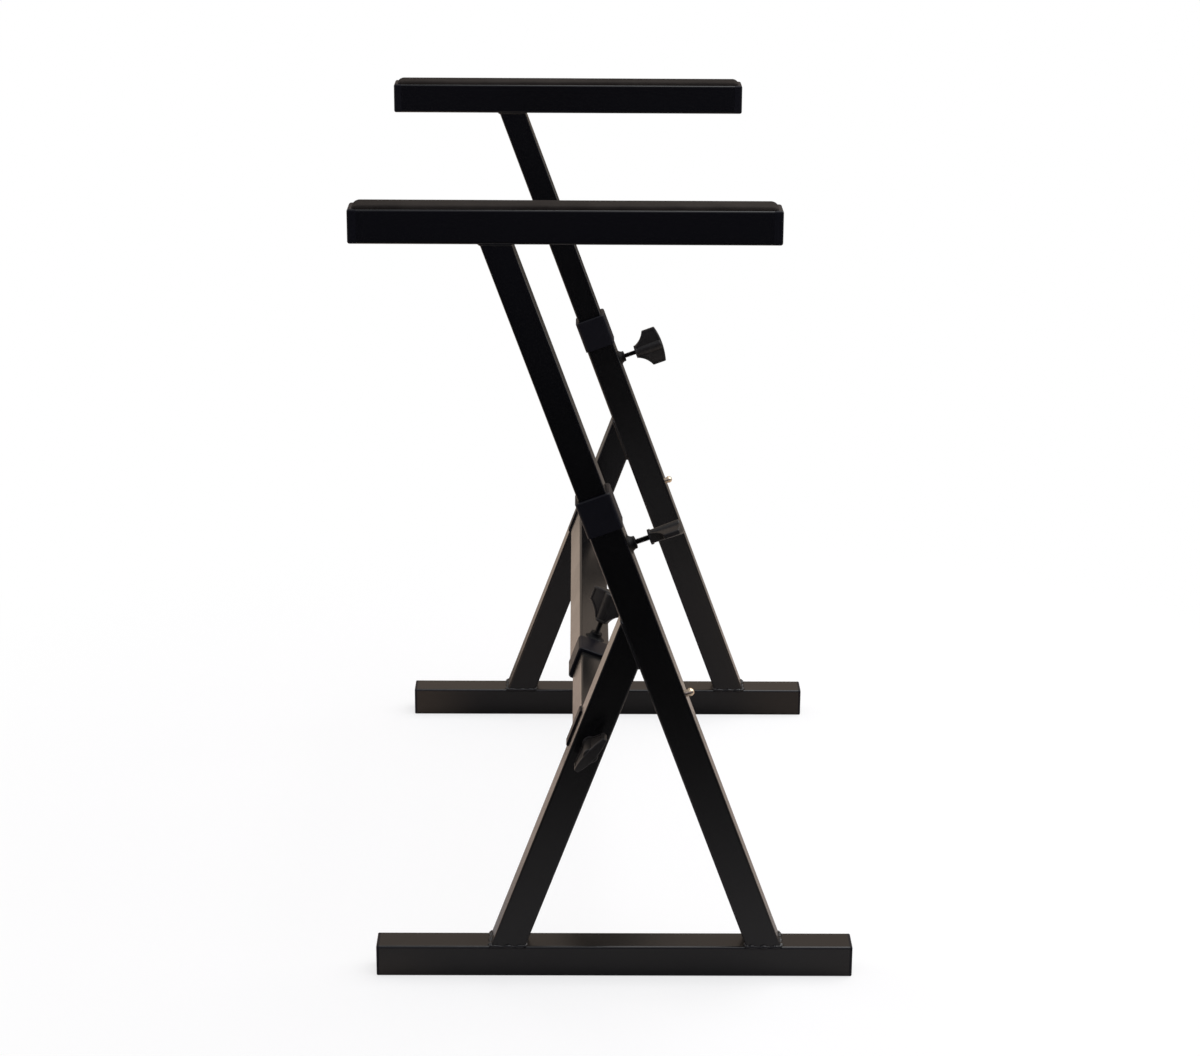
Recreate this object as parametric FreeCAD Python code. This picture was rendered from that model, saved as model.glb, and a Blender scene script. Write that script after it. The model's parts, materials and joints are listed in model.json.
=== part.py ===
import FreeCAD
import Part
import math
import os

V = FreeCAD.Vector

# Keyboard stand with two A-shaped side frames joined by one telescopic crossbar.
# X runs along the bases, Y from the near frame to the far frame and Z up from the floor, in millimetres.

# Square tube
tube_size = 35.0            # bases, legs, struts, arms and the crossbar's outer half
tube_wall = 1.5
tube_corner = 2.5
slide_gap = 1.0             # room on each side between a sliding tube and the tube around it
slide_wall = 1.5
slide_corner = 2.0
least_corner = 0.4          # smallest radius inside a bore

# Side frames
frame_spacing = 750.0       # from the middle of one frame to the middle of the other
base_length = 510.0
leg_foot = 159.5            # from the middle of the base to the leg's axis, on top of the base
strut_foot = -114.0         # the same for the strut
lean = 20.3                 # degrees from the vertical, for the leg one way and the strut the other
leg_free = 132.4            # leg above the place where the strut's outer side meets it

# Sliding risers and their arms
riser_reach = 279.3         # from the collar's top to the arm's underside, along the leg
riser_insertion = 157.7     # below the leg's mouth
riser_drop = 71.0           # travel down to the stop screw
arm_length = 430.0          # over both end caps
arm_overhang = 146.0        # from the arm's left end to the riser's axis
pad_height = 3.8
pad_inset = 1.5
pad_round = 1.6
pad_end_gap = 4.5           # from the arm's end to the pad's end
pad_end_round = 5.0
pad_nose = 7.0              # length over which the pad's end curves down
pad_toe = 0.8               # height left at the pad's end

# Crossbar
crossbar_height = 270.0
inner_show = 181.0          # inner tube between its saddle and the collar
inner_insertion = 270.0     # inner tube past the collar's face

# Plastic collars at the mouths of the outer tubes
collar_length = 39.5
collar_flange = 3.0
collar_wall = 1.5
collar_chamfer = 1.0
skirt_length = 30.0         # liner between the outer tube and the sliding tube
press_gap = 0.05            # plastic pushed into or over steel
run_gap = 0.15              # around a sliding tube

# Plugs, caps and glides
plug_flange = 3.0
plug_round = 1.5
cap_head = 9.0
cap_round = 2.5
spigot_length = 18.0
spigot_wall = 2.0
glide_flange = 4.0
glide_gap = 0.2

# Clamps: a boss welded to the tube, a stud through it and a wing knob
clamp_below_collar = 24.7
crossbar_clamp_below = 12.0
boss_base = 22.5
boss_tip = 13.5
boss_height = 7.0
boss_weld = 5.0             # height of the hollow weld at the boss's foot
boss_round = 1.0
stud_diameter = 6.0
stud_bare = 14.5            # stud that shows between boss and knob
thread_gap = 0.08
hole_gap = 0.3
tip_gap = 0.2               # between the stud and the tube that it presses on

# Wing knob
knob_length = 36.0
knob_crown = 3.0
knob_neck = 16.2
knob_span = 47.0
knob_flare = 2.6            # hollow of the curve from the hub to the wing
knob_plate = 11.0           # wing's thickness at the hub
knob_thin = 4.6             # and at its ends
knob_hub = 14.0
knob_foot = 16.5            # disc at the hub's start
knob_foot_height = 3.0
knob_foot_round = 0.8
knob_tip = 16.0
knob_tip_drop = 1.0         # how far the hub ends below the wing's crown
knob_edge = 1.5
knob_rim = 2.6              # border left round the hollow in each face of the wing
knob_hollow = 0.8
knob_thread = 20.0          # depth of the stud in the knob

# Stop screws
stop_diameter = 6.0
stop_reach = 8.0            # inside the leg's bore
stop_neck = 3.0             # length between the leg and the head
stop_shoulder = 0.4         # how far the neck covers the rim of its hole
stop_head = 8.5
stop_side = 2.5             # straight side of the head
stop_dome = 3.2
stop_gap = 0.5

# Saddles, bolts and nuts that hold the crossbar to the struts
saddle_length = 42.0
saddle_web = 5.0
saddle_lip = 2.0
saddle_grip = 10.0          # how far the lips reach along the strut's sides
saddle_gap = 0.15
saddle_spigot = 26.0
saddle_round = 1.5
bolt_diameter = 8.0
bolt_spare = 5.0            # bolt past its nut
nut_flats = 13.0
nut_height = 6.5
nut_gap = 0.1

# How far each wing is turned about its own axis, in degrees, from the line of its leg or strut
near_height_turn = 84.0
far_height_turn = 0.0
crossbar_turn = 56.0
strut_turn = 20.0

# Sizes that follow
bore_size = tube_size - 2 * tube_wall
bore_corner = max(tube_corner - tube_wall, least_corner)
slide_size = bore_size - 2 * slide_gap
slide_bore = slide_size - 2 * slide_wall
slide_bore_corner = max(slide_corner - slide_wall, least_corner)
lean_sin = math.sin(math.radians(lean))
lean_cos = math.cos(math.radians(lean))
lean_tan = lean_sin / lean_cos
half_side = tube_size / 2 / lean_cos
base_top = tube_size
strut_top = base_top + (leg_foot - strut_foot) / 2 / lean_tan
strut_meet = (strut_top - base_top) / lean_cos + half_side * lean_sin
leg_length = strut_meet + leg_free
riser_length = riser_insertion + collar_flange + riser_reach
arm_underside = base_top + (leg_length + collar_flange + riser_reach) * lean_cos
arm_left = leg_foot - (arm_underside - base_top) * lean_tan - arm_overhang
reach_left = min(arm_left, -base_length / 2)
reach_right = max(arm_left + arm_length, base_length / 2)
base_x = -(reach_left + reach_right) / 2
glide_end = leg_length - riser_insertion - glide_flange
stop_height = glide_end - riser_drop - stop_gap - stop_diameter / 2
clamp_height = leg_length + collar_flange - collar_length - clamp_below_collar
crossbar_x = base_x + strut_foot + (crossbar_height - base_top) * lean_tan
near_y = -frame_spacing / 2
far_y = frame_spacing / 2
inner_face = frame_spacing / 2 - tube_size / 2
mouth_y = -inner_face + saddle_web + inner_show + collar_flange
far_reach = 4 * tube_size   # past anything that a trimming block has to remove


# A square with round corners, as a face across Z
def rounded_square(size, corner, height):
    half = size / 2
    flat = half - corner
    knee = flat + corner * math.sqrt(0.5)
    edges = []
    for quarter in range(4):
        turn = FreeCAD.Rotation(V(0, 0, 1), 90 * quarter)
        start = turn.multVec(V(half, -flat, height))
        end = turn.multVec(V(half, flat, height))
        after = turn.multVec(V(flat, half, height))
        edges.append(Part.makeLine(start, end))
        edges.append(Part.Arc(end, turn.multVec(V(knee, knee, height)), after).toShape())
    return Part.Face(Part.Wire(edges))


# A square bar along Z
def bar(size, corner, bottom, top):
    return rounded_square(size, corner, bottom).extrude(V(0, 0, top - bottom))


# A square tube along Z
def tube(size, wall, corner, bottom, top):
    bore = bar(size - 2 * wall, max(corner - wall, least_corner), bottom, top)
    return bar(size, corner, bottom, top).cut(bore)


def cylinder(diameter, bottom, top):
    return Part.makeCylinder(diameter / 2, top - bottom, V(0, 0, bottom))


# Edges that lie in the plane across Z at one height
def edges_at(shape, height):
    found = []
    for edge in shape.Edges:
        box = edge.BoundBox
        if abs(box.ZMin - height) < 1e-6 and abs(box.ZMax - height) < 1e-6:
            found.append(edge)
    return found


def placed(shape, frame):
    copy = shape.copy()
    copy.Placement = frame.multiply(copy.Placement)
    return copy


# Frame on a leg's axis: Z up the leg, X out of its right-hand side
def leg_frame(middle):
    return FreeCAD.Placement(V(base_x + leg_foot, middle, base_top), FreeCAD.Rotation(V(0, 1, 0), -lean))


# Frame on a strut's axis: Z up the strut, X out of its right-hand side
def strut_frame(middle):
    return FreeCAD.Placement(V(base_x + strut_foot, middle, base_top), FreeCAD.Rotation(V(0, 1, 0), lean))


# Frame on the crossbar's axis: Z along Y, X up the strut
def crossbar_frame(at, direction):
    up_strut = V(lean_sin, 0, lean_cos)
    along = V(0, direction, 0)
    turn = FreeCAD.Rotation(up_strut, along.cross(up_strut), along, "ZXY")
    return FreeCAD.Placement(V(crossbar_x, at, crossbar_height), turn)


# Frame of a clamp on a tube's X side: Z out of the tube's face, X down the tube, turned about Z
def clamp_frame(tube_frame, height, turn):
    out = FreeCAD.Placement(V(tube_size / 2, 0, height), FreeCAD.Rotation(V(0, 1, 0), 90))
    spin = FreeCAD.Placement(V(0, 0, 0), FreeCAD.Rotation(V(0, 0, 1), turn))
    return tube_frame.multiply(out).multiply(spin)


# Frame along X from one end of a base or an arm, Z pointing outward
def end_frame(x, middle, height, direction):
    turn = FreeCAD.Rotation(V(0, 1, 0), 90 * direction)
    return FreeCAD.Placement(V(x, middle, height), turn)


# A clearance hole along a clamp's Z
def clamp_hole(frame, diameter, depth):
    return placed(cylinder(diameter + 2 * hole_gap, -depth, depth), frame)


# Everything below the base's top
def below_base(middle):
    size = base_length + 2 * far_reach
    return Part.makeBox(size, 2 * far_reach, far_reach,
                        V(base_x - size / 2, middle - far_reach, base_top - far_reach))


def base_tube(middle):
    half = base_length / 2 - plug_flange
    lying = FreeCAD.Placement(V(base_x, middle, tube_size / 2), FreeCAD.Rotation(V(0, 1, 0), 90))
    return placed(tube(tube_size, tube_wall, tube_corner, -half, half), lying)


# Hollow spigot of a plug or cap, pushed into a bore below Z = 0
def spigot(bore, corner, length):
    outside = bar(bore - 2 * press_gap, corner, -length, 0)
    hollow_corner = max(corner - spigot_wall, least_corner)
    return outside.cut(bar(bore - 2 * press_gap - 2 * spigot_wall, hollow_corner, -length, 0))


def plug(head, rounding):
    flange = bar(tube_size, tube_corner, 0, head)
    flange = flange.makeFillet(rounding, edges_at(flange, head))
    return flange.fuse(spigot(bore_size, bore_corner, spigot_length)).removeSplitter()


# Two like pieces, one at each end of a base or an arm
def end_pair(shape, left, right, middle, height):
    return Part.makeCompound([
        placed(shape, end_frame(left, middle, height, -1)),
        placed(shape, end_frame(right, middle, height, 1)),
    ])


def base_plugs(middle):
    half = base_length / 2 - plug_flange
    return end_pair(plug(plug_flange, plug_round), base_x - half, base_x + half, middle, tube_size / 2)


def main_leg(middle):
    frame = leg_frame(middle)
    leg = placed(tube(tube_size, tube_wall, tube_corner, -tube_size, leg_length), frame)
    leg = leg.cut(below_base(middle))
    leg = leg.cut(clamp_hole(clamp_frame(frame, clamp_height, 0), stud_diameter, 2 * tube_wall))
    return leg.cut(clamp_hole(clamp_frame(frame, stop_height, 0), stop_diameter, 2 * tube_wall))


# The strut ends on the base below and on the leg's left-hand side above
def strut(middle):
    reach = leg_length + far_reach
    post = placed(tube(tube_size, tube_wall, tube_corner, -tube_size, reach), strut_frame(middle))
    post = post.cut(below_base(middle))
    beyond = Part.makeBox(2 * reach, 2 * far_reach, 4 * reach, V(-tube_size / 2, -far_reach, -2 * reach))
    post = post.cut(placed(beyond, leg_frame(middle)))
    return post.cut(clamp_hole(crossbar_frame(middle, 1), bolt_diameter, tube_size))


# Collar on a mouth at Z = 0: a sleeve outside, a flange across the rim and a liner inside
def collar():
    low = collar_flange - collar_length
    shell = bar(tube_size + 2 * collar_wall, tube_corner + collar_wall, low, collar_flange)
    shell = shell.makeChamfer(collar_chamfer, edges_at(shell, collar_flange))
    shell = shell.cut(bar(tube_size + 2 * press_gap, tube_corner + press_gap, low, 0))
    liner = bar(bore_size - 2 * press_gap, bore_corner, -skirt_length, 0)
    way = bar(slide_size + 2 * run_gap, slide_corner + run_gap, -collar_length, 2 * collar_flange)
    return shell.fuse(liner).cut(way).removeSplitter()


# Glide in the inner end of a sliding tube, whose end is at Z = 0 with the tube above
def glide():
    flange = bar(bore_size - 2 * glide_gap, bore_corner, -glide_flange, 0)
    stem = spigot(slide_bore, slide_bore_corner, spigot_length)
    stem = placed(stem, FreeCAD.Placement(V(0, 0, 0), FreeCAD.Rotation(V(1, 0, 0), 180)))
    return flange.fuse(stem).removeSplitter()


def riser_tube(middle):
    foot = leg_length - riser_insertion
    riser = tube(slide_size, slide_wall, slide_corner, foot, foot + riser_length + tube_size)
    riser = placed(riser, leg_frame(middle))
    size = 2 * riser_length
    above = Part.makeBox(2 * size, 2 * far_reach, size, V(-size, middle - far_reach, arm_underside))
    return riser.cut(above)


def riser_glide(middle):
    seat = FreeCAD.Placement(V(0, 0, leg_length - riser_insertion), FreeCAD.Rotation())
    return placed(glide(), leg_frame(middle).multiply(seat))


def arm_tube(middle):
    start = base_x + arm_left + cap_head
    lying = end_frame(start, middle, arm_underside + tube_size / 2, 1)
    return placed(tube(tube_size, tube_wall, tube_corner, 0, arm_length - 2 * cap_head), lying)


def arm_end_caps(middle):
    left = base_x + arm_left + cap_head
    right = left + arm_length - 2 * cap_head
    return end_pair(plug(cap_head, cap_round), left, right, middle, arm_underside + tube_size / 2)


# Side view of a pad whose foot is at Z = 0, as a face across Y: its ends curve down from a level top
def pad_outline(half, back):
    drop = pad_height - pad_toe
    radius = (pad_nose ** 2 + drop ** 2) / 2 / drop
    middle_angle = math.asin(pad_nose / radius) / 2
    knee_x = half - pad_nose + radius * math.sin(middle_angle)
    knee_z = pad_height - radius * (1 - math.cos(middle_angle))
    right = Part.Arc(V(half, back, pad_toe), V(knee_x, back, knee_z), V(half - pad_nose, back, pad_height))
    left = Part.Arc(V(pad_nose - half, back, pad_height), V(-knee_x, back, knee_z), V(-half, back, pad_toe))
    edges = [
        Part.makeLine(V(-half, back, 0), V(half, back, 0)),
        Part.makeLine(V(half, back, 0), V(half, back, pad_toe)),
        right.toShape(),
        Part.makeLine(V(half - pad_nose, back, pad_height), V(pad_nose - half, back, pad_height)),
        left.toShape(),
        Part.makeLine(V(-half, back, pad_toe), V(-half, back, 0)),
    ]
    return Part.Face(Part.Wire(edges))


# Rubber strip on top of an arm and its caps
def arm_pad(middle):
    half = arm_length / 2 - pad_end_gap
    width = tube_size - 2 * pad_inset
    strip = Part.makeBox(2 * half, width, pad_height, V(-half, -width / 2, 0))
    upright = [edge for edge in strip.Edges if edge.BoundBox.ZLength > pad_height / 2]
    strip = strip.makeFillet(pad_end_round, upright)
    strip = strip.makeFillet(pad_round, edges_at(strip, pad_height))
    strip = strip.common(pad_outline(half, -width).extrude(V(0, 2 * width, 0)))
    seat = V(base_x + arm_left + arm_length / 2, middle, arm_underside + tube_size)
    return placed(strip, FreeCAD.Placement(seat, FreeCAD.Rotation()))


# Boss with a hollow weld round its foot and a clearance thread, standing on Z = 0
def clamp_boss():
    foot = boss_base / 2
    tip = boss_tip / 2
    sag = (foot - tip + boss_weld) * (1 - math.sqrt(0.5)) / 2
    hollow = V(foot - (foot - tip) / 2 - sag / 2, 0, boss_weld / 2 - sag / 2)
    edges = [
        Part.makeLine(V(0, 0, 0), V(foot, 0, 0)),
        Part.Arc(V(foot, 0, 0), hollow, V(tip, 0, boss_weld)).toShape(),
        Part.makeLine(V(tip, 0, boss_weld), V(tip, 0, boss_height)),
        Part.makeLine(V(tip, 0, boss_height), V(0, 0, boss_height)),
        Part.makeLine(V(0, 0, boss_height), V(0, 0, 0)),
    ]
    body = Part.Face(Part.Wire(edges)).revolve(V(0, 0, 0), V(0, 0, 1), 360)
    body = body.makeFillet(boss_round, edges_at(body, boss_height))
    return body.cut(cylinder(stud_diameter + 2 * thread_gap, -boss_height, 2 * boss_height))


# Bar along Z between two large arcs, thick in the middle and thin at X = half on both sides
def lens(middle_thickness, end_thickness, half, height):
    sag = (middle_thickness - end_thickness) / 2
    radius = (half ** 2 + sag ** 2) / 2 / sag
    offset = radius - middle_thickness / 2
    front = Part.makeCylinder(radius, height, V(0, offset, 0))
    return front.common(Part.makeCylinder(radius, height, V(0, -offset, 0)))


# Wing knob whose hub starts at Z = 0, with the wing along X
def wing_knob(thread):
    hub = knob_hub / 2
    half = knob_span / 2
    shoulder = knob_length - knob_crown
    run = math.hypot(half - hub, knob_neck)
    bend_x = (hub + half) / 2 - knob_flare * knob_neck / run
    bend_z = knob_neck / 2 + knob_flare * (half - hub) / run
    back = V(0, -knob_plate / 2, 0)
    corners = [V(-hub, 0, 0), V(hub, 0, 0), V(half, 0, knob_neck), V(half, 0, shoulder),
               V(-half, 0, shoulder), V(-half, 0, knob_neck)]
    bends = {1: V(bend_x, 0, bend_z), 3: V(0, 0, knob_length), 5: V(-bend_x, 0, bend_z)}
    edges = []
    for number, start in enumerate(corners):
        end = corners[(number + 1) % len(corners)]
        if number in bends:
            edges.append(Part.Arc(start + back, bends[number] + back, end + back).toShape())
        else:
            edges.append(Part.makeLine(start + back, end + back))
    outline = Part.Face(Part.Wire(edges))
    plate = outline.extrude(V(0, knob_plate, 0)).common(lens(knob_plate, knob_thin, half, knob_length))
    plate = plate.makeFillet(knob_edge, plate.Edges)
    core = lens(knob_plate - 2 * knob_hollow, knob_thin - 2 * knob_hollow, half, knob_length)
    plate = plate.cut(outline.makeOffset2D(-knob_rim).extrude(V(0, knob_plate, 0)).cut(core))
    stem = Part.makeCone(hub, knob_tip / 2, knob_length - knob_tip_drop)
    stem = stem.makeFillet(knob_edge, edges_at(stem, knob_length - knob_tip_drop))
    foot = cylinder(knob_foot, 0, knob_foot_height)
    foot = foot.makeFillet(knob_foot_round, edges_at(foot, knob_foot_height))
    bore = cylinder(thread + 2 * thread_gap, -knob_thread, knob_thread + thread_gap)
    return plate.fuse([stem, foot]).cut(bore).removeSplitter()


def clamp_knob(frame):
    seat = FreeCAD.Placement(V(0, 0, boss_height + stud_bare), FreeCAD.Rotation())
    return placed(wing_knob(stud_diameter), frame.multiply(seat))


# Stud from the tube that it presses on to its seat in the knob
def clamp_stud(frame):
    inner_tip = -tube_wall - slide_gap + tip_gap
    return placed(cylinder(stud_diameter, inner_tip, boss_height + stud_bare + knob_thread), frame)


# Dome-headed screw on a short neck, whose shank stops the riser
def stop_screw(middle):
    frame = clamp_frame(leg_frame(middle), stop_height, 0)
    top = stop_neck + stop_side + stop_dome
    radius = ((stop_head / 2) ** 2 + stop_dome ** 2) / 2 / stop_dome
    ball = Part.makeSphere(radius, V(0, 0, top - radius))
    dome = ball.common(cylinder(stop_head, stop_neck + stop_side, top))
    head = dome.fuse(cylinder(stop_head, stop_neck, stop_neck + stop_side))
    neck = cylinder(stop_diameter + 2 * hole_gap + 2 * stop_shoulder, 0, stop_neck)
    shank = cylinder(stop_diameter, -tube_wall - stop_reach, 0)
    return placed(head.fuse([neck, shank]).removeSplitter(), frame)


# Saddle that grips a strut below Z = 0 and plugs into the crossbar above, with a pocket for the nut
def saddle(bore, corner):
    across = tube_size + 2 * saddle_gap + 2 * saddle_lip
    block = Part.makeBox(saddle_length, across, saddle_web + saddle_grip,
                         V(-saddle_length / 2, -across / 2, -saddle_grip))
    upright = [edge for edge in block.Edges if edge.BoundBox.ZLength > saddle_grip]
    block = block.makeFillet(saddle_round, upright)
    channel = tube_size + 2 * saddle_gap
    block = block.cut(Part.makeBox(2 * saddle_length, channel, saddle_grip,
                                   V(-saddle_length, -channel / 2, -saddle_grip)))
    block = block.fuse(bar(bore - 2 * press_gap, corner, saddle_web, saddle_web + saddle_spigot))
    pocket = nut_flats + 2 * nut_gap
    block = block.cut(hexagon(pocket, saddle_web, saddle_web + saddle_spigot))
    return block.cut(cylinder(bolt_diameter + 2 * hole_gap, -saddle_grip, saddle_web)).removeSplitter()


# Hexagonal bar along Z, measured across its flats
def hexagon(flats, bottom, top):
    ring = [V(flats / math.sqrt(3) * math.cos(math.pi / 3 * side),
              flats / math.sqrt(3) * math.sin(math.pi / 3 * side), bottom) for side in range(7)]
    return Part.Face(Part.makePolygon(ring)).extrude(V(0, 0, top - bottom))


def saddle_nut():
    nut = hexagon(nut_flats, saddle_web, saddle_web + nut_height)
    return nut.cut(cylinder(bolt_diameter + 2 * thread_gap, 0, 2 * saddle_web + nut_height))


# Bolt from its seat in the knob, through the strut and the saddle, past the nut
def strut_bolt():
    return cylinder(bolt_diameter, -knob_thread, tube_size + saddle_web + nut_height + bolt_spare)


parts = {}

# The two side frames: inward is the way from a frame to the middle of the stand
side_frames = (("near", near_y, 1, near_height_turn), ("far", far_y, -1, far_height_turn))
for side, middle, inward, height_turn in side_frames:
    leg_axes = leg_frame(middle)
    mouth = leg_axes.multiply(FreeCAD.Placement(V(0, 0, leg_length), FreeCAD.Rotation()))
    clamp = clamp_frame(leg_axes, clamp_height, height_turn)
    parts[side + "_base_tube"] = base_tube(middle)
    parts[side + "_base_plugs"] = base_plugs(middle)
    parts[side + "_main_leg"] = main_leg(middle)
    parts[side + "_strut"] = strut(middle)
    parts[side + "_leg_collar"] = placed(collar(), mouth)
    parts[side + "_clamp_boss"] = placed(clamp_boss(), clamp)
    parts[side + "_height_knob"] = clamp_knob(clamp)
    parts[side + "_height_stud"] = clamp_stud(clamp)
    parts[side + "_stop_screw"] = stop_screw(middle)
    parts[side + "_riser_tube"] = riser_tube(middle)
    parts[side + "_riser_glide"] = riser_glide(middle)
    parts[side + "_arm_tube"] = arm_tube(middle)
    parts[side + "_arm_end_caps"] = arm_end_caps(middle)
    parts[side + "_arm_pad"] = arm_pad(middle)

    # The crossbar's fixing on this frame's strut
    inner_seat = crossbar_frame(middle + inward * tube_size / 2, inward)
    outer_seat = crossbar_frame(middle - inward * tube_size / 2, -inward)
    turn = FreeCAD.Placement(V(0, 0, 0), FreeCAD.Rotation(V(0, 0, 1), -inward * strut_turn))
    saddle_bore = slide_bore if side == "near" else bore_size
    saddle_corner = slide_bore_corner if side == "near" else bore_corner
    parts[side + "_crossbar_saddle"] = placed(saddle(saddle_bore, saddle_corner), inner_seat)
    parts[side + "_saddle_nut"] = placed(saddle_nut(), inner_seat)
    parts[side + "_strut_knob"] = placed(wing_knob(bolt_diameter), outer_seat.multiply(turn))
    bolt_seat = crossbar_frame(middle - inward * tube_size / 2, inward)
    parts[side + "_strut_bolt"] = placed(strut_bolt(), bolt_seat)

# The crossbar: its outer half on the far frame, its inner half on the near frame
outer_length = inner_face - saddle_web - mouth_y
outer_axes = crossbar_frame(inner_face - saddle_web, -1)
outer = tube(tube_size, tube_wall, tube_corner, 0, outer_length)
crossbar_mouth = outer_axes.multiply(FreeCAD.Placement(V(0, 0, outer_length), FreeCAD.Rotation()))
crossbar_clamp_at = outer_length + collar_flange - collar_length - crossbar_clamp_below
crossbar_clamp = clamp_frame(outer_axes, crossbar_clamp_at, crossbar_turn)
outer = placed(outer, outer_axes).cut(clamp_hole(crossbar_clamp, stud_diameter, 2 * tube_wall))
parts["crossbar_outer_tube"] = outer
parts["crossbar_collar"] = placed(collar(), crossbar_mouth)
parts["crossbar_clamp_boss"] = placed(clamp_boss(), crossbar_clamp)
parts["crossbar_knob"] = clamp_knob(crossbar_clamp)
parts["crossbar_stud"] = clamp_stud(crossbar_clamp)
inner_length = inner_show + inner_insertion
inner_axes = crossbar_frame(-inner_face + saddle_web, 1)
inner = tube(slide_size, slide_wall, slide_corner, 0, inner_length)
parts["crossbar_inner_tube"] = placed(inner, inner_axes)
parts["crossbar_glide"] = placed(glide(), crossbar_frame(-inner_face + saddle_web + inner_length, -1))

os.makedirs("parts", exist_ok=True)
for name, shape in parts.items():
    shape.exportStep("parts/" + name + ".step")
    print(name, "solids", len(shape.Solids), "valid", shape.isValid(), "volume", round(shape.Volume))
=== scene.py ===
import json
import math

import bmesh
import bpy
from mathutils import Matrix, Vector
from mathutils.noise import noise as wobble


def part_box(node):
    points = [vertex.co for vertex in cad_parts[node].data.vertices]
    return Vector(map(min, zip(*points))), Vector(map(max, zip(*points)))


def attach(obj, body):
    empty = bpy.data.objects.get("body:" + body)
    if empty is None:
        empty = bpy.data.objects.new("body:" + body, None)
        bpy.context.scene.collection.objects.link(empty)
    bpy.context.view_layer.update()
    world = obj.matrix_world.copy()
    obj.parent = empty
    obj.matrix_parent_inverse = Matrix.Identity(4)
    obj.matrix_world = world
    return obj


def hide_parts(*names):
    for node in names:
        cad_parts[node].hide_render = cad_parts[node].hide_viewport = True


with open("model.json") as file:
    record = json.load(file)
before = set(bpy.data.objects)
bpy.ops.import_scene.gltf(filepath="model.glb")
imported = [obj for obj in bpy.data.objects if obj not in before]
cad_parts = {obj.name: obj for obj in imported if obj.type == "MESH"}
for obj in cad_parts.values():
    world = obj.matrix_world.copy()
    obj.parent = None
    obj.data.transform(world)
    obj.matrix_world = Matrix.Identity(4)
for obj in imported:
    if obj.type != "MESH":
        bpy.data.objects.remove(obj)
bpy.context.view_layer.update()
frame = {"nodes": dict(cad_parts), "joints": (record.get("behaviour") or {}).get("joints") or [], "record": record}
nodes = frame["nodes"]
joints = {joint["name"]: joint for joint in frame["joints"]}
sides = ("near", "far")
mm = 0.001
xWay, yWay, zWay = Matrix.Identity(3)


# a socket that Python expressions can build nodes behind
class Signal:
    def __init__(self, tree, socket=None):
        self.tree = tree
        self.socket = socket

    def add(self, kind, settings=None, sockets=None, out=0):
        made = self.tree.nodes.new(kind)
        for key, value in (settings or {}).items():
            if key == "stops":
                self.setStops(made.color_ramp, value)
            else:
                setattr(made, key, value)
        for key, value in (sockets or {}).items():
            if isinstance(value, Signal):
                self.tree.links.new(value.socket, made.inputs[key])
            else:
                made.inputs[key].default_value = value
        return Signal(self.tree, made.outputs[out])

    def setStops(self, ramp, stops):  # pairs of place and shade, a number or a colour, from low to high
        ramp.elements[0].position = stops[0][0]
        ramp.elements[1].position = stops[-1][0]
        for place, shade in stops[1:-1]:
            ramp.elements.new(place)
        for element, (place, shade) in zip(ramp.elements, stops):
            element.color = shade if isinstance(shade, tuple) else rgb(shade, shade, shade)

    def maths(self, operation, *values):
        return self.add("ShaderNodeMath", {"operation": operation}, dict(enumerate(values)))

    def blend(self, first, second):  # colours, with self as the factor
        colours = {0: self, 6: first, 7: second}
        return self.add("ShaderNodeMix", {"data_type": "RGBA"}, colours, 2)

    def ramp(self, *stops):
        return self.add("ShaderNodeValToRGB", {"stops": stops}, {0: self})

    def ease(self, low, high):  # 0 below low, 1 above high, smooth between
        sockets = {0: self, 1: low, 2: high}
        return self.add("ShaderNodeMapRange", {"interpolation_type": "SMOOTHSTEP"}, sockets)

    def __add__(self, other):
        return self.maths("ADD", self, other)

    def __sub__(self, other):
        return self.maths("SUBTRACT", self, other)

    def __rsub__(self, other):
        return self.maths("SUBTRACT", other, self)

    def __mul__(self, other):
        return self.maths("MULTIPLY", self, other)

    __radd__ = __add__
    __rmul__ = __mul__


def rgb(red, green, blue):
    return (red, green, blue, 1)


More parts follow.
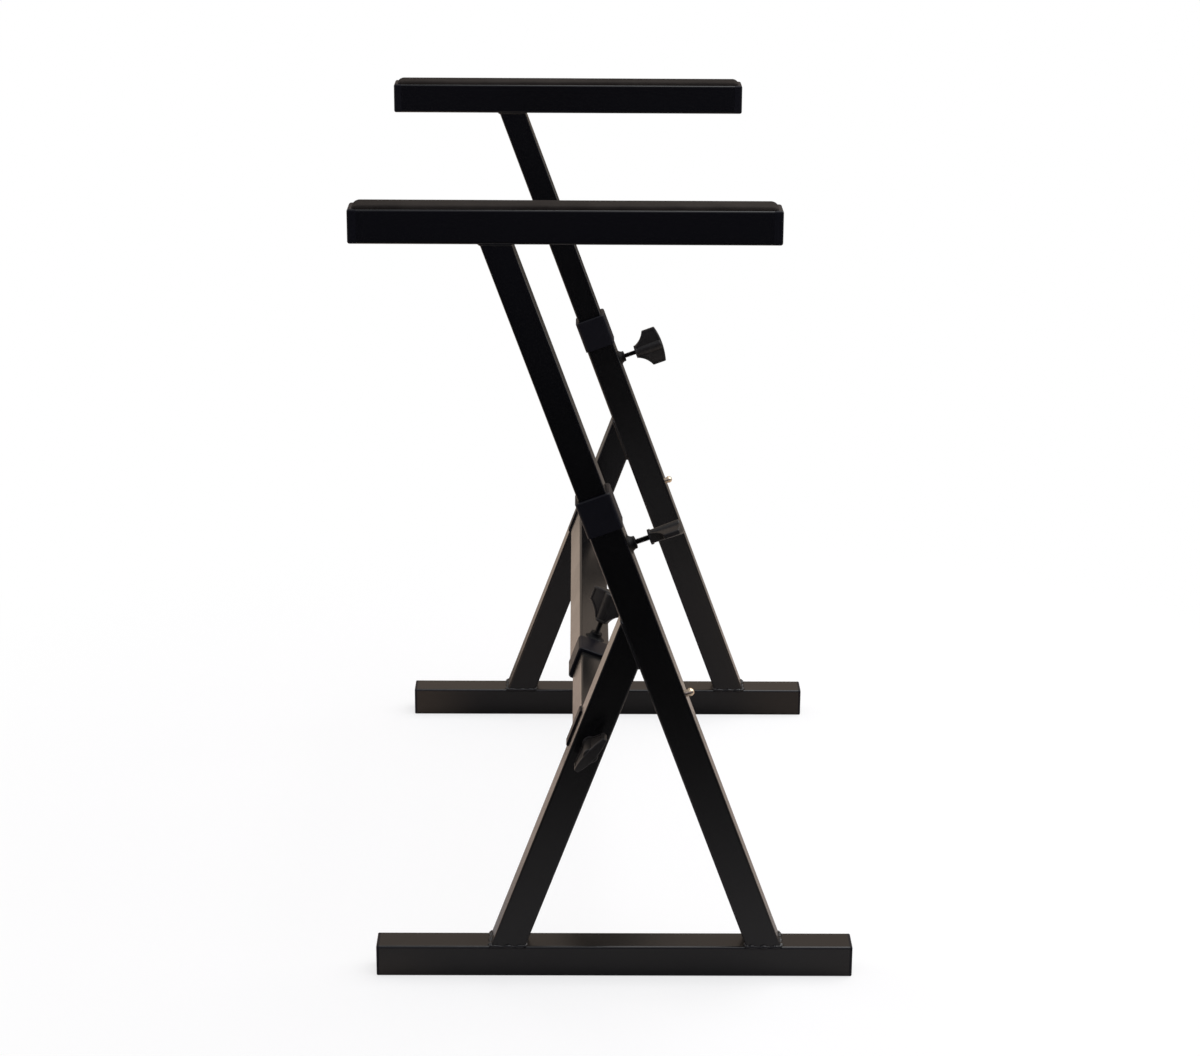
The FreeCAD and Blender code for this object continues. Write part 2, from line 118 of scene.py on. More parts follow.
# stage: pale floor and soft lamps, white all round for the camera, but toned for gloss
# the floor's tones for gloss are painted reflections and painted shade
studio = {
    "floorSize": 16.0,
    "floorWhite": rgb(0.93, 0.93, 0.93),
    "floorRoughness": 0.9,
    "floorGloss": 0.1,
    "frontPaintedReflection": (  # painted reflection: tones that only gloss sees, by distance behind the stand's middle
        (-6.0, rgb(0.12, 0.12, 0.17)),
        (-4.4, rgb(0.07, 0.065, 0.11)),
        (-3.6, rgb(0.04, 0.04, 0.05)),
        (-2.4, rgb(0.03, 0.03, 0.03)),
        (-1.6, rgb(0.01, 0.01, 0.01)),
        (-1.2, rgb(0.035, 0.034, 0.034)),
        (-0.95, rgb(0.13, 0.125, 0.125)),
        (-0.7, rgb(0.28, 0.27, 0.27)),
        (-0.48, rgb(0.44, 0.425, 0.42)),
    ),
    "middlePaintedShade": (  # painted shade in the reflections, behind the near frame, in line with the crossbar
        (-0.1, rgb(0.3, 0.275, 0.265)),
        (0.3, rgb(0.34, 0.315, 0.305)),
        (0.42, rgb(0.05, 0.045, 0.04)),
        (3.9, rgb(0.05, 0.045, 0.04)),
    ),
    "leftPaintedReflection": (  # painted reflection, behind the near frame, to the left of it
        (-0.25, rgb(0.86, 0.68, 0.55)),
        (0.3, rgb(0.72, 0.57, 0.465)),
        (0.55, rgb(0.84, 0.66, 0.54)),
        (1.4, rgb(0.78, 0.62, 0.5)),
        (2.0, rgb(0.3, 0.255, 0.22)),
        (3.9, rgb(0.1, 0.09, 0.08)),
    ),
    # painted reflection, behind the near frame, to the right of it
    "rightPaintedReflection": (
        (-0.12, rgb(0.51, 0.425, 0.36)),
        (0.3, rgb(0.49, 0.405, 0.345)),
        (0.6, rgb(0.68, 0.57, 0.48)),
        (1.0, rgb(0.42, 0.355, 0.305)),
        (2.0, rgb(0.24, 0.205, 0.18)),
        (3.9, rgb(0.08, 0.072, 0.064)),
    ),
    # where the band of painted shade gives way to the side bands of painted reflection
    "paintedShadeWidth": (0.15, 0.25),
    "whiteRing": (0.55, 1.2),  # the floor turns to plain white over this distance for the camera, and to glowing painted reflection tones for gloss
    "veil": 0.7,  # share of plain white close to the stand
    "wallWarm": rgb(0.42, 0.345, 0.29),  # behind the stand
    "wallCool": rgb(0.45, 0.45, 0.54),  # in front, high
    "wallDark": rgb(0.06, 0.06, 0.09),  # in front, low
    "coolRise": (0.15, 0.5),
    "wallTurn": (-0.3, 0.6),  # from the front wall to the back one
    "ceiling": rgb(0.6, 0.6, 0.63),
    "ceilingRise": (0.55, 0.85),
}
white = rgb(1, 1, 1)


def raysSeen(start):  # gloss alone, and camera, gloss and see-through rays together
    camera = start.add("ShaderNodeLightPath", out="Is Camera Ray")
    glossy = start.add("ShaderNodeLightPath", out="Is Glossy Ray")
    through = start.add("ShaderNodeLightPath", out="Is Transmission Ray")
    return glossy, start.maths("MINIMUM", camera + glossy + through, 1.0)


# painted reflections and painted shade that only gloss sees on the floor, in three bands across
def paintedReflectionFloor(start, across, back):
    low, high = studio["frontPaintedReflection"][0][0], studio["middlePaintedShade"][-1][0]
    along = start.add("ShaderNodeMapRange", {}, {0: back, 1: low, 2: high})
    bands = {}
    for band in ("leftPaintedReflection", "middlePaintedShade", "rightPaintedReflection"):
        tones = studio["frontPaintedReflection"] + studio[band]
        bands[band] = along.ramp(*[((at - low) / (high - low), tone) for at, tone in tones])
    inner, outer = studio["paintedShadeWidth"]
    rightward = across.ease(inner, outer).blend(bands["middlePaintedShade"], bands["rightPaintedReflection"])
    return across.ease(-outer, -inner).blend(bands["leftPaintedReflection"], rightward)


def buildFloor():
    half = studio["floorSize"] / 2
    mesh = bpy.data.meshes.new("studioFloor")
    corners = [(-half, -half, 0), (half, -half, 0), (half, half, 0), (-half, half, 0)]
    mesh.from_pydata(corners, [], [(0, 1, 2, 3)])
    floor = bpy.data.objects.new("studioFloor", mesh)
    bpy.context.scene.collection.objects.link(floor)
    material = bpy.data.materials.new("studioFloor")
    material.use_nodes = True
    tree = material.node_tree
    start = Signal(tree)
    shader = tree.nodes["Principled BSDF"]
    shader.inputs["Roughness"].default_value = studio["floorRoughness"]
    shader.inputs["Specular IOR Level"].default_value = studio["floorGloss"]
    place = start.add("ShaderNodeTexCoord", out="Object")
    across = start.add("ShaderNodeSeparateXYZ", {}, {0: place}, "X")
    back = start.add("ShaderNodeSeparateXYZ", {}, {0: place}, "Y")
    distance = start.add("ShaderNodeVectorMath", {"operation": "LENGTH"}, {0: place}, "Value")
    glossy, seen = raysSeen(start)
    paintedReflection = paintedReflectionFloor(start, across, back)
    # gloss rays see the painted reflection tones as the floor's colour, other rays plain white
    tree.links.new(glossy.blend(studio["floorWhite"], paintedReflection).socket, shader.inputs["Base Color"])
    veil = (1 - glossy) * studio["veil"]
    plain = distance.ease(*studio["whiteRing"]) * (1 - veil) + veil
    # the floor glows for gloss with the painted reflection tones, for the camera with white
    glow = start.add("ShaderNodeEmission", {}, {"Color": glossy.blend(white, paintedReflection), "Strength": 1.0})
    lit = Signal(tree, shader.outputs[0])
    mixed = start.add("ShaderNodeMixShader", {}, {0: plain * seen, 1: lit, 2: glow})
    tree.links.new(mixed.socket, tree.nodes["Material Output"].inputs["Surface"])
    floor.data.materials.append(material)


def buildWorld():
    world = bpy.data.worlds.new("studioWorld")
    world.use_nodes = True
    bpy.context.scene.world = world
    tree = world.node_tree
    start = Signal(tree)
    direction = start.add("ShaderNodeTexCoord", out="Generated")
    back = start.add("ShaderNodeSeparateXYZ", {}, {0: direction}, "Y")
    height = start.add("ShaderNodeSeparateXYZ", {}, {0: direction}, "Z")
    glossy, seen = raysSeen(start)
    front = height.ease(*studio["coolRise"]).blend(studio["wallDark"], studio["wallCool"])
    walls = back.ease(*studio["wallTurn"]).blend(front, studio["wallWarm"])
    room = height.ease(*studio["ceilingRise"]).blend(walls, studio["ceiling"])
    shown = (seen - glossy).blend(room, white)  # white for the camera, the room's tones for gloss
    tree.links.new(shown.socket, tree.nodes["Background"].inputs["Color"])


lamps = {
    "overhead": {"size": (4.2, 4.2), "place": (1.8, 0.4, 3.4), "aim": (1.2, 0.3, 0), "watts": 112},
    "leftFill": {"size": (1.6, 2.2), "place": (-3.2, 0.6, 1.9), "aim": (0, 0, 0.4), "watts": 22},
    "rightFill": {"size": (1.6, 2.2), "place": (3.2, 0.6, 1.9), "aim": (0, 0, 0.4), "watts": 22},
}


def buildLamps():
    for name, values in lamps.items():
        light = bpy.data.lights.new(name, "AREA")
        light.shape = "RECTANGLE"
        light.size, light.size_y = values["size"]
        light.energy = values["watts"]
        lamp = bpy.data.objects.new(name, light)
        lamp.location = values["place"]
        lamp.rotation_euler = (Vector(values["aim"]) - lamp.location).to_track_quat("-Z", "Y").to_euler()
        bpy.context.scene.collection.objects.link(lamp)


viewpoint = {
    "place": (-0.035746, -3.133167, 1.406778),
    "pitch": 18.183,  # degrees down
    "yaw": 0.513,  # degrees to the right
    "roll": -0.362,
    "focalPixels": 2834.954,
    "imageWidth": 1200,
    "sensor": 36.0,
}


def buildCamera():
    data = bpy.data.cameras.new("viewCamera")
    data.sensor_fit = "HORIZONTAL"
    data.sensor_width = viewpoint["sensor"]
    data.lens = viewpoint["focalPixels"] / viewpoint["imageWidth"] * viewpoint["sensor"]
    camera = bpy.data.objects.new("viewCamera", data)
    bpy.context.scene.collection.objects.link(camera)
    turn = Matrix.Rotation(-math.radians(viewpoint["yaw"]), 4, "Z")
    tilt = Matrix.Rotation(math.radians(90 - viewpoint["pitch"]), 4, "X")
    roll = Matrix.Rotation(-math.radians(viewpoint["roll"]), 4, "Z")
    camera.matrix_world = Matrix.Translation(viewpoint["place"]) @ turn @ tilt @ roll
    bpy.context.scene.camera = camera


bpy.context.scene.view_settings.view_transform = "Standard"
buildFloor()
buildWorld()
buildLamps()
buildCamera()
print("stage: floor,", len(lamps), "lamps and camera")


# finishes
def startFinish(name):
    material = bpy.data.materials.new(name)
    material.use_nodes = True
    start = Signal(material.node_tree)
    place = start.add("ShaderNodeTexCoord", out="Object")
    return material, start, place, material.node_tree.nodes["Principled BSDF"]


def noise(start, place, scale, detail, roughness=0.5):
    sockets = {"Vector": place, "Scale": scale, "Detail": detail, "Roughness": roughness}
    return start.add("ShaderNodeTexNoise", {}, sockets)


def bump(start, shader, height, distance, strength):
    normal = start.add("ShaderNodeBump", {}, {"Height": height, "Distance": distance, "Strength": strength})
    feed(start, shader, "Normal", normal)


def feed(start, shader, name, signal):
    start.tree.links.new(signal.socket, shader.inputs[name])


# in each finish a noise has its scale, detail and roughness, and a bump its depth in metres and strength
paint = {
    "colour": rgb(0.0018, 0.0018, 0.002),
    "dust": rgb(0.018, 0.0165, 0.015),
    "gloss": 0.5,
    "roughness": 0.14,
    "peel": (520, 2),
    "grain": (2600, 1),
    "patches": (14, 4),
    "specks": (900, 3, 0.7),
    "speckRange": ((0.66, 0), (0.74, 1)),
    "upward": ((0.55, 0), (1.0, 1)),  # dust settles on faces that look up
    "dustShare": 0.35,
    "speckShare": 0.12,
    "patchRoughness": 0.12,
    "grainRoughness": 0.05,
    "grainHeight": 0.2,
    "bump": (0.0002, 0.12),
}
bossPaint = {**paint, "gloss": 0.15, "roughness": 0.42}


def blackPaint(name, values):
    material, start, place, shader = startFinish(name)
    peel = noise(start, place, *values["peel"])
    grain = noise(start, place, *values["grain"])
    patches = noise(start, place, *values["patches"])
    specks = noise(start, place, *values["specks"]).ramp(*values["speckRange"])
    facing = start.add("ShaderNodeNewGeometry", out="Normal")
    upward = start.add("ShaderNodeSeparateXYZ", {}, {0: facing}, "Z").ramp(*values["upward"])
    settled = upward * patches * values["dustShare"] + specks * values["speckShare"]
    feed(start, shader, "Base Color", settled.blend(values["colour"], values["dust"]))
    uneven = patches * values["patchRoughness"] + grain * values["grainRoughness"]
    feed(start, shader, "Roughness", uneven + values["roughness"])
    shader.inputs["Specular IOR Level"].default_value = values["gloss"]
    bump(start, shader, peel + grain * values["grainHeight"], *values["bump"])
    return material


plastic = {
    "colour": rgb(0.0048, 0.0047, 0.0078),
    "scuff": rgb(0.02, 0.02, 0.024),
    "gloss": 0.2,
    "roughness": 0.34,
    "grain": (1900, 2),
    "patches": (40, 3),
    "scuffs": (260, 5, 0.75),
    "scuffRange": ((0.62, 0), (0.8, 1)),
    "scuffShare": 0.5,
    "patchRoughness": 0.16,
    "scuffRoughness": 0.1,
    "bump": (0.00015, 0.2),
}


def blackPlastic():
    material, start, place, shader = startFinish("blackPlastic")
    grain = noise(start, place, *plastic["grain"])
    patches = noise(start, place, *plastic["patches"])
    scuffs = noise(start, place, *plastic["scuffs"]).ramp(*plastic["scuffRange"])
    scuffed = scuffs * plastic["scuffShare"]
    feed(start, shader, "Base Color", scuffed.blend(plastic["colour"], plastic["scuff"]))
    uneven = patches * plastic["patchRoughness"] + scuffs * plastic["scuffRoughness"]
    feed(start, shader, "Roughness", uneven + plastic["roughness"])
    shader.inputs["Specular IOR Level"].default_value = plastic["gloss"]
    bump(start, shader, grain, *plastic["bump"])
    return material


knobMould = {
    "colour": rgb(0.0115, 0.0102, 0.0093),
    "rub": rgb(0.023, 0.0205, 0.019),
    "gloss": 0.32,
    "roughness": 0.4,
    "pebbleScale": 1300,
    "patches": (90, 3),
    "rubRange": ((0.5, 0), (0.75, 1)),
    "rubShare": 0.6,
    "rubPolish": 0.16,
    "bump": (0.0002, 0.25),
}


def knobPlastic():
    material, start, place, shader = startFinish("knobPlastic")
    sockets = {"Vector": place, "Scale": knobMould["pebbleScale"]}
    pebble = start.add("ShaderNodeTexVoronoi", {}, sockets, "Distance")
    rubbed = noise(start, place, *knobMould["patches"]).ramp(*knobMould["rubRange"])
    paler = rubbed * knobMould["rubShare"]
    feed(start, shader, "Base Color", paler.blend(knobMould["colour"], knobMould["rub"]))
    feed(start, shader, "Roughness", knobMould["roughness"] - rubbed * knobMould["rubPolish"])
    shader.inputs["Specular IOR Level"].default_value = knobMould["gloss"]
    bump(start, shader, pebble, *knobMould["bump"])
    return material


screwSteel = {
    "colour": rgb(0.03, 0.029, 0.029),
    "worn": rgb(0.16, 0.155, 0.15),
    "roughness": 0.3,
    "film": (700, 4, 0.6),
    "wornRange": ((0.58, 0), (0.78, 1)),
    "wornShare": 0.6,
    "filmRoughness": 0.2,
    "bump": (0.0001, 0.15),
}


def studSteel():
    material, start, place, shader = startFinish("studSteel")
    film = noise(start, place, *screwSteel["film"])
    worn = film.ramp(*screwSteel["wornRange"]) * screwSteel["wornShare"]
    feed(start, shader, "Base Color", worn.blend(screwSteel["colour"], screwSteel["worn"]))
    feed(start, shader, "Roughness", film * screwSteel["filmRoughness"] + screwSteel["roughness"])
    shader.inputs["Metallic"].default_value = 1.0
    bump(start, shader, film, *screwSteel["bump"])
    return material


yellowZinc = {
    "colour": rgb(0.86, 0.7, 0.48),
    "iris": rgb(0.78, 0.64, 0.52),
    "roughness": 0.19,
    "clouds": (380, 3),
    "lines": (3200, 2),
    "irisRange": ((0.4, 0), (0.65, 1)),
    "cloudRoughness": 0.12,
    "bump": (0.00006, 0.12),
}


def goldZinc():
    material, start, place, shader = startFinish("goldZinc")
    clouds = noise(start, place, *yellowZinc["clouds"])
    lines = noise(start, place, *yellowZinc["lines"])
    iris = clouds.ramp(*yellowZinc["irisRange"])
    feed(start, shader, "Base Color", iris.blend(yellowZinc["colour"], yellowZinc["iris"]))
    feed(start, shader, "Roughness", clouds * yellowZinc["cloudRoughness"] + yellowZinc["roughness"])
    shader.inputs["Metallic"].default_value = 1.0
    bump(start, shader, lines, *yellowZinc["bump"])
    return material


rubber = {
    "colour": rgb(0.0152, 0.0123, 0.0107),
    "bloom": rgb(0.03, 0.0252, 0.022),
    "gloss": 0.1,
    "roughness": 0.7,
    "grain": (1500, 3, 0.6),
    "patches": (22, 5, 0.6),
    "bloomRange": ((0.35, 0), (0.8, 1)),
    "grainRoughness": 0.14,
    "patchRoughness": 0.12,
    "bump": (0.0003, 0.35),
}


def padRubber():
    material, start, place, shader = startFinish("padRubber")
    grain = noise(start, place, *rubber["grain"])
    patches = noise(start, place, *rubber["patches"])
    bloom = patches.ramp(*rubber["bloomRange"])
    feed(start, shader, "Base Color", bloom.blend(rubber["colour"], rubber["bloom"]))
    uneven = grain * rubber["grainRoughness"] + patches * rubber["patchRoughness"]
    feed(start, shader, "Roughness", uneven + rubber["roughness"])
    shader.inputs["Specular IOR Level"].default_value = rubber["gloss"]
    bump(start, shader, grain, *rubber["bump"])
    return material


finishes = {
    "black_powder_coat": blackPaint("blackPaint", paint),
    "black_plastic": blackPlastic(),
    "knob_plastic": knobPlastic(),
    "zinc_steel": studSteel(),
    "stop_screw_steel": goldZinc(),
    "pad_rubber": padRubber(),
}


def dressNodes():
    bossFinish = blackPaint("bossPaint", bossPaint)
    for part in frame["record"]["subparts"]:
        onBoss = part["node"].endswith("clamp_boss")
        slots = nodes[part["node"]].data.materials
        slots.clear()
        slots.append(bossFinish if onBoss else finishes[part["material_slot"]])


dressNodes()
print("finishes:", len(finishes), "on", len(nodes), "nodes")


# modelled pieces
def addPiece(name, mesh, body, slot):
    piece = bpy.data.objects.new(name, mesh)
    bpy.context.scene.collection.objects.link(piece)
    mesh.materials.clear()
    mesh.materials.append(finishes[slot])
    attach(piece, body)
    return piece


# closed mesh through rings of points, with edges over sharp degrees kept hard
def skin(name, rings, loop, sharp=40):
    work = bmesh.new()
    rows = [[work.verts.new(point) for point in ring] for ring in rings]
    following = rows[1:] + rows[:1] if loop else rows[1:]
    for here, there in zip(rows, following):
        for side in range(len(here)):
            after = (side + 1) % len(here)
            work.faces.new((here[side], here[after], there[after], there[side]))
    if not loop:
        work.faces.new(rows[0])
        work.faces.new(rows[-1])
    bmesh.ops.recalc_face_normals(work, faces=work.faces)
    for face in work.faces:
        face.smooth = True
    mesh = bpy.data.meshes.new(name)
    work.to_mesh(mesh)
    work.free()
    mesh.set_sharp_from_angle(angle=math.radians(sharp))
    return mesh


def spanAlong(node, way):  # lowest and highest reach of a node along a direction
    reaches = [vertex.co.dot(way) for vertex in nodes[node].data.vertices]
    return min(reaches), max(reaches)


def legAxes(side):  # up the leg, and out of its right-hand face
    up = Vector(joints[side + "_height_slide"]["axis"]).normalized()
    return up, Vector((up.z, 0, -up.x))


weld = {
    "footRadius": 2.0 * mm,
    "footSink": 0.3 * mm,  # depth of the bead's middle under flush faces
    "topRadius": 1.5 * mm,
    "topSink": 0.6 * mm,
    "armRadius": 1.7 * mm,
    "armSink": 0.4 * mm,
    "armDrop": 0.3 * mm,
    "corner": 3.0 * mm,
    "step": 0.6 * mm,
    "points": 11,
    "sharp": 180,  # degrees, so that no edge of a bead is hard
    "ripple": 2.7 * mm,  # from one ripple to the next
    "rippleDepth": 0.1,
    "crest": math.pi / 4,  # where on the bead a ripple leads
    "crescent": 1.1,  # how far a ripple's edges trail its middle, in radians
    "lumps": 0.2,
    "lumpSize": 9 * mm,
    "stitch": 12.5 * mm,  # from one swelling of a foot's bead to the next
    "stitchDepth": 0.42,
    "crotchDrop": 1.3 * mm,
    "dropPower": 6,  # how closely the drop keeps to the seam's lower end
}


def seamPath(halfLong, halfWide):  # places and outward ways round a rectangle with round corners
    corner = weld["corner"]
    turns = round(math.pi / 2 * corner / weld["step"])
    signs = ((1, 1), (-1, 1), (-1, -1), (1, -1))
    path = []
    for number, (long, wide) in enumerate(signs):
        middle = Vector((long * (halfLong - corner), wide * (halfWide - corner)))
        for turn in range(turns + 1):
            angle = math.pi / 2 * (number + turn / turns)
            out = Vector((math.cos(angle), math.sin(angle)))
            path.append((middle + out * corner, out))
        nextLong, nextWide = signs[(number + 1) % len(signs)]
        start = path[-1][0]
        nextMiddle = Vector((nextLong * (halfLong - corner), nextWide * (halfWide - corner)))
        run = nextMiddle + out * corner - start
        steps = round(run.length / weld["step"])
        path += [(start + run * step / steps, out) for step in range(1, steps)]
    return path


# ways point along, across and out of the seam's plane
def seamMesh(name, middle, ways, halves, radius, lift=0.0, drop=0.0, depth=0.0):
    along, across, out = ways
    path = seamPath(*halves)
    ripples = round(len(path) * weld["step"] / weld["ripple"])
    rings = []
    for number, (place, way) in enumerate(path):
        low = max(0, -place.x / halves[0]) ** weld["dropPower"]  # 1 at the seam's lower end
        centre = middle + along * place.x + across * place.y + out * lift - zWay * drop * low
        sideways = along * way.x + across * way.y
        fromMiddle = place.x * abs(way.y) + place.y * abs(way.x)
        stitch = math.cos(2 * math.pi * fromMiddle / weld["stitch"])
        ring = []
        for point in range(weld["points"]):
            angle = 2 * math.pi * point / weld["points"]
            trail = weld["crescent"] * (1 - math.cos(angle - weld["crest"]))
            ripple = math.cos(2 * math.pi * ripples * number / len(path) - trail)
            spoke = sideways * math.cos(angle) + out * math.sin(angle)
            lump = wobble((centre + spoke * radius) / weld["lumpSize"])
            swell = 1 + weld["rippleDepth"] * ripple + weld["lumps"] * lump + depth * stitch
            ring.append(centre + spoke * radius * swell)
        rings.append(ring)
    return skin(name, rings, True, weld["sharp"])


def buildWelds(side):
    up, right = legAxes(side)
    legLow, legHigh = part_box(side + "_main_leg")
    strutLow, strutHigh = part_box(side + "_strut")
    riserLow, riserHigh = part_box(side + "_riser_tube")
    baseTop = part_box(side + "_base_tube")[1].z
    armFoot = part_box(side + "_arm_tube")[0].z
    half = (legHigh.y - legLow.y) / 2
    riserHalf = (riserHigh.y - riserLow.y) / 2
    middle = (legHigh.y + legLow.y) / 2
    level = (xWay, yWay, zWay)
    footHalves = (half / up.z, half - weld["footSink"])
    legFoot = Vector((legHigh.x - half / up.z, middle, baseTop))
    strutFoot = Vector((strutLow.x + half / up.z, middle, baseTop))
    cutHalf = -half / (2 * up.x * up.z)  # strut's mitre, along the leg
    cutTop = (strutHigh.z - baseTop - half * up.x) / up.z
    cut = legFoot + up * (cutTop - cutHalf) - right * half
    armSeat = Vector((legFoot.x + (armFoot - baseTop) * up.x / up.z, middle, armFoot))
    bead = weld["footRadius"]
    depth = weld["stitchDepth"]
    topHalves = (cutHalf, half - weld["topSink"])
    seams = {
        "leg_foot_weld": seamMesh("legFootWeld", legFoot, level, footHalves, bead, depth=depth),
        "strut_foot_weld": seamMesh("strutFootWeld", strutFoot, level, footHalves, bead, depth=depth),
        "strut_top_weld": seamMesh("strutTopWeld", cut, (up, yWay, -right), topHalves, weld["topRadius"],
                                   drop=weld["crotchDrop"]),
    }
    for name, mesh in seams.items():
        addPiece(side + "_" + name, mesh, side + "_frame", "black_powder_coat")
    armHalves = (riserHalf / up.z, riserHalf - weld["armSink"])
    downward = (xWay, yWay, -zWay)
    arm = seamMesh("armWeld", armSeat, downward, armHalves, weld["armRadius"], lift=weld["armDrop"])
    addPiece(side + "_arm_weld", arm, side + "_riser", "black_powder_coat")


thread = {
    "pitch": 1.0 * mm,
    "depth": 0.61 * mm,
    "points": 20,
    "ringsPerTurn": 6,
    "root": 0.12,  # share of the flank cut off flat at the root
    "flank": 0.7,
    "chamfer": 0.9 * mm,
}


def threadRadius(turn, outer):
    rise = 1 - abs(2 * (turn % 1) - 1)
    crest = min(1, max(0, (rise - thread["root"]) / thread["flank"]))
    return outer - thread["depth"] * (1 - crest)


def buildStud(node, joint):
    axis = Vector(joint["axis"]).normalized()
    origin = Vector(joint["pos_m"])
    origin -= axis * origin.dot(axis)
    low, high = spanAlong(node, axis)
    first = axis.orthogonal().normalized()
    second = axis.cross(first)
    left, right = spanAlong(node, first)
    outer = (right - left) / 2
    core = outer - thread["depth"]
    count = round((high - low) / thread["pitch"] * thread["ringsPerTurn"])
    rings = []
    for number in range(count + 1):
        height = low + (high - low) * number / count
        limit = core - thread["chamfer"] / 2 + min(height - low, high - height)
        ring = []
        for point in range(thread["points"]):
            angle = 2 * math.pi * point / thread["points"]
            turn = height / thread["pitch"] - point / thread["points"]
            radius = min(threadRadius(turn, outer), limit)
            spoke = first * math.cos(angle) + second * math.sin(angle)
            ring.append(origin + axis * height + spoke * radius)
        rings.append(ring)
    piece = addPiece(node + "_threaded", skin(node, rings, False), node, "zinc_steel")
    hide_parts(node)


stopScrew = {
    "neck": 3.0 * mm,
    "neckRadius": 3.7 * mm,
    "shankRadius": 3.0 * mm,
    "side": 2.5 * mm,
    "dome": 3.2 * mm,
    "bevel": 0.3 * mm,
    "points": 32,
    "domeRings": 7,
    "recessWidth": 1.0 * mm,
    "recessSpan": 4.4 * mm,
    "recessDepth": 1.9 * mm,
    "recessTaper": 0.6,
    "sharp": 30,
}


def screwProfile(length, headRadius):  # pairs of height and radius, with the dome's top at zero
    bevel = stopScrew["bevel"]
    seat = -stopScrew["dome"] - stopScrew["side"]
    face = seat - stopScrew["neck"]
    ball = (headRadius ** 2 + stopScrew["dome"] ** 2) / 2 / stopScrew["dome"]
    shank, neck = stopScrew["shankRadius"], stopScrew["neckRadius"]
    profile = [(-length, shank - bevel), (bevel - length, shank), (face, shank), (face, neck), (seat, neck),
               (seat, headRadius - bevel), (seat + bevel, headRadius)]
    for ring in range(stopScrew["domeRings"]):
        radius = headRadius * math.cos(math.pi / 2 * ring / stopScrew["domeRings"])
        profile.append((math.sqrt(ball ** 2 - radius ** 2) - ball, radius))
    return profile


def crossOutline(height, share):
    long = stopScrew["recessSpan"] / 2 * share
    thin = stopScrew["recessWidth"] / 2 * share
    quarter = [(long, -thin), (long, thin), (thin, thin)]
    ring = []
    for turn in range(4):
        spin = Matrix.Rotation(math.pi / 2 * turn, 2)
        ring += [(spin @ Vector(corner)).to_3d() + zWay * height for corner in quarter]
    return ring


def cutAway(mesh, tool):
    body = bpy.data.objects.new("cutBody", mesh)
    cutter = bpy.data.objects.new("cutTool", tool)
    for helper in (body, cutter):
        bpy.context.scene.collection.objects.link(helper)
    boolean = body.modifiers.new("cut", "BOOLEAN")
    boolean.operation = "DIFFERENCE"
    boolean.object = cutter
    result = bpy.data.meshes.new_from_object(body.evaluated_get(bpy.context.evaluated_depsgraph_get()))
    for helper in (body, cutter):
        bpy.data.objects.remove(helper)
    return result


def buildStopScrew(side):
    node = side + "_stop_screw"
    up, right = legAxes(side)
    low, high = spanAlong(node, right)
    left, far = spanAlong(node, yWay)
    bottom, top = spanAlong(node, up)
    rings = []
    angles = [2 * math.pi * point / stopScrew["points"] for point in range(stopScrew["points"])]
    for height, radius in screwProfile(high - low, (far - left) / 2):
        rings.append([Vector((math.cos(turn) * radius, math.sin(turn) * radius, height)) for turn in angles])
    depth = stopScrew["recessDepth"]
    taper = stopScrew["recessTaper"]
    recess = [crossOutline(-depth, taper), crossOutline(depth, 2 - taper)]
    mesh = cutAway(skin(node, rings, False, stopScrew["sharp"]), skin("crossRecess", recess, False))
    spot = right * high + yWay * (left + far) / 2 + up * (bottom + top) / 2
    mesh.transform(Matrix.Translation(spot) @ right.to_track_quat("Z", "Y").to_matrix().to_4x4())
    mesh.set_sharp_from_angle(angle=math.radians(stopScrew["sharp"]))
    piece = addPiece(side + "_cross_screw", mesh, side + "_frame", "stop_screw_steel")
    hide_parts(node)


pad = {
    "nose": 7.0 * mm,  # length over which an end curves down
    "toe": 0.8 * mm,
    "planRound": 5.0 * mm,
    "edge": 2.9 * mm,
    "edgeShare": 0.8,  # most of an end's height that its round edge takes
    "crown": 0.25 * mm,
    "unevenness": 0.08 * mm,
    "unevenSize": 30 * mm,
    "noseRings": 12,
    "noseCrowd": 1.5,  # rings stand closer towards the tip
    "rings": 48,
    "edgeSteps": 5,
    "topSteps": 8,
    "sharp": 50,
}


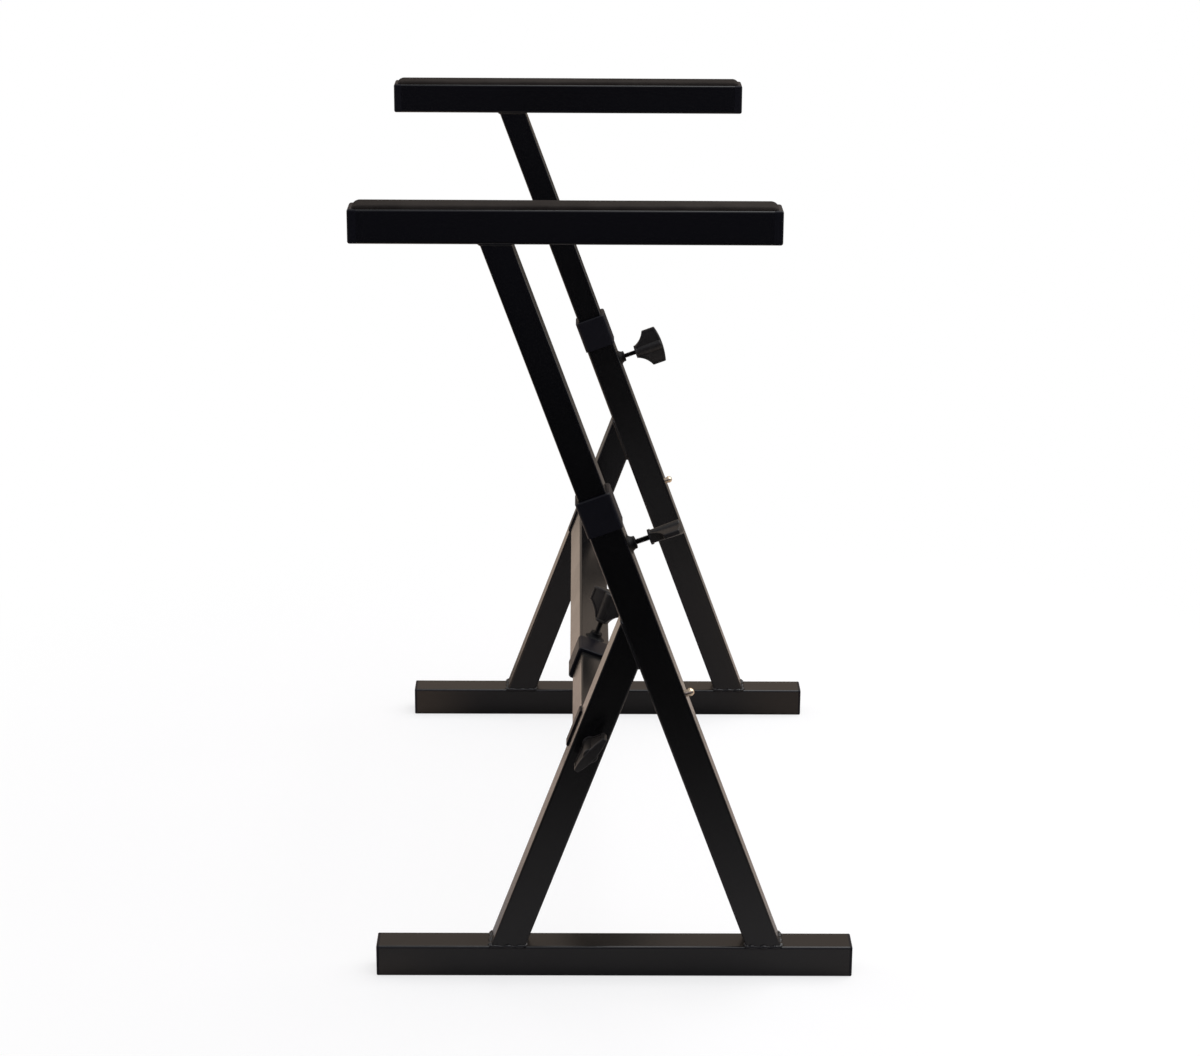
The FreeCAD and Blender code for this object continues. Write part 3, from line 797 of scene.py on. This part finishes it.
def padRing(low, high, x):
    middle = (low.y + high.y) / 2
    toEnd = min(x - low.x, high.x - x)
    height = high.z - low.z
    half = (high.y - low.y) / 2
    if toEnd < pad["nose"]:
        drop = height - pad["toe"]
        radius = (pad["nose"] ** 2 + drop ** 2) / 2 / drop
        height += math.sqrt(radius ** 2 - (pad["nose"] - toEnd) ** 2) - radius
    if toEnd < pad["planRound"]:
        half += math.sqrt(pad["planRound"] ** 2 - (pad["planRound"] - toEnd) ** 2) - pad["planRound"]
    edge = min(pad["edge"], pad["edgeShare"] * height)
    right = [(half, 0)]
    for step in range(pad["edgeSteps"] + 1):
        angle = math.pi / 2 * step / pad["edgeSteps"]
        right.append((half - edge + edge * math.cos(angle), height - edge + edge * math.sin(angle)))
    flat = half - edge
    top = [(flat - 2 * flat * step / pad["topSteps"], height) for step in range(1, pad["topSteps"])]
    left = [(-across, tall) for across, tall in reversed(right)]
    ring = []
    for across, tall in right + top + left:
        uneven = (1 + wobble(Vector((x, across, low.y)) / pad["unevenSize"])) / 2
        sunk = pad["crown"] * (across / half) ** 2 + pad["unevenness"] * uneven
        ring.append(Vector((x, middle + across, low.z + tall * (1 - sunk / height))))
    return ring


def buildPad(side):
    node = side + "_arm_pad"
    low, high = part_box(node)
    nose = [pad["nose"] * (step / pad["noseRings"]) ** pad["noseCrowd"] for step in range(pad["noseRings"])]
    length = high.x - low.x
    straight = length - 2 * pad["nose"]
    body = [pad["nose"] + straight * step / pad["rings"] for step in range(pad["rings"] + 1)]
    places = nose + body + [length - place for place in reversed(nose)]
    rings = [padRing(low, high, low.x + place) for place in places]
    mesh = skin(node, rings, False, pad["sharp"])
    piece = addPiece(side + "_rubber_pad", mesh, side + "_riser", "pad_rubber")
    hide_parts(node)


for side in sides:
    buildWelds(side)
    buildStopScrew(side)
    buildPad(side)
for clamp in ("near_height", "far_height", "crossbar"):
    buildStud(clamp + "_stud", joints[clamp + "_knob_turn"])
print("pieces: welds, stop screws and pads on", len(sides), "sides, and 3 studs")
